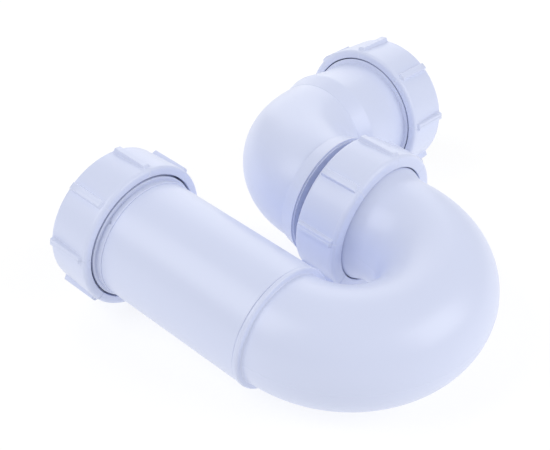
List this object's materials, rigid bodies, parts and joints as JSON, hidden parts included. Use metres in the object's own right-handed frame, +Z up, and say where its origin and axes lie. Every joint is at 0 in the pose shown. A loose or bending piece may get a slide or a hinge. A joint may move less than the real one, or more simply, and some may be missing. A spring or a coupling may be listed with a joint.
{
  "type": "p trap",
  "caption": "Tubular plastic P trap: inlet tube, U-bend and swivelling outlet elbow, joined by ribbed compression nuts over tapered seals.",
  "frame": {"origin": "middle of the footprint, on the surface that the three nuts rest on", "axes": "+X from the inlet leg towards the outlet, +Y along both legs towards the nut on the inlet, +Z up with the trap lying on its side"},
  "size_m": [0.1864, 0.1612, 0.0647],
  "materials": {
    "pipe_plastic": "satin gloss white polypropylene",
    "nut_plastic": "satin gloss white polypropylene",
    "ring_plastic": "natural unpigmented polyethylene",
    "seal_rubber": "matt black rubber"
  },
  "bodies": {
    "trap_body": {"inlet_tube": "pipe_plastic", "u_bend": "pipe_plastic", "inlet_seal": "seal_rubber", "swivel_seal": "seal_rubber"},
    "inlet_ring": {"inlet_slip_ring": "ring_plastic"},
    "inlet_nut": {"inlet_nut": "nut_plastic"},
    "swivel_ring": {"swivel_slip_ring": "ring_plastic"},
    "swivel_nut": {"swivel_nut": "nut_plastic"},
    "outlet_elbow": {"outlet_elbow": "pipe_plastic", "outlet_seal": "seal_rubber"},
    "outlet_ring": {"outlet_slip_ring": "ring_plastic"},
    "outlet_nut": {"outlet_nut": "nut_plastic"}
  },
  "joints": [
    {"name": "inlet_ring_slide", "type": "slide", "parent": "trap_body", "child": "inlet_ring", "axis": [0, 0.9976, 0.0692], "range_m": [0, 0.012]},
    {"name": "inlet_nut_turn", "type": "hinge", "parent": "inlet_ring", "child": "inlet_nut", "pos_m": [-0.06133, 0.0625, 0.03235], "axis": [0, 0.9976, 0.0692], "range_deg": [0, 1080]},
    {"name": "swivel_ring_slide", "type": "slide", "parent": "trap_body", "child": "swivel_ring", "axis": [0, 0.9976, 0.0692], "range_m": [0, 0.004]},
    {"name": "swivel_nut_turn", "type": "hinge", "parent": "swivel_ring", "child": "swivel_nut", "pos_m": [0.01004, -0.00164, 0.03216], "axis": [0, 0.9976, 0.0692], "range_deg": [0, 360]},
    {"name": "elbow_swivel", "type": "hinge", "parent": "trap_body", "child": "outlet_elbow", "pos_m": [0.01004, -0.00164, 0.03216], "axis": [0, 0.9976, 0.0692], "range_deg": [-115, 103]},
    {"name": "outlet_ring_slide", "type": "slide", "parent": "outlet_elbow", "child": "outlet_ring", "axis": [0.9988, 0.0034, -0.0486], "range_m": [0, 0.012]},
    {"name": "outlet_nut_turn", "type": "hinge", "parent": "outlet_ring", "child": "outlet_nut", "pos_m": [0.08135, 0.04877, 0.03217], "axis": [0.9988, 0.0034, -0.0486], "range_deg": [0, 1080]}
  ],
  "couplings": [
    {"joint": "inlet_ring_slide", "follows": "inlet_nut_turn", "m_per_rad": 0.0006366},
    {"joint": "swivel_ring_slide", "follows": "swivel_nut_turn", "m_per_rad": 0.0006366},
    {"joint": "outlet_ring_slide", "follows": "outlet_nut_turn", "m_per_rad": 0.0006366}
  ]
}
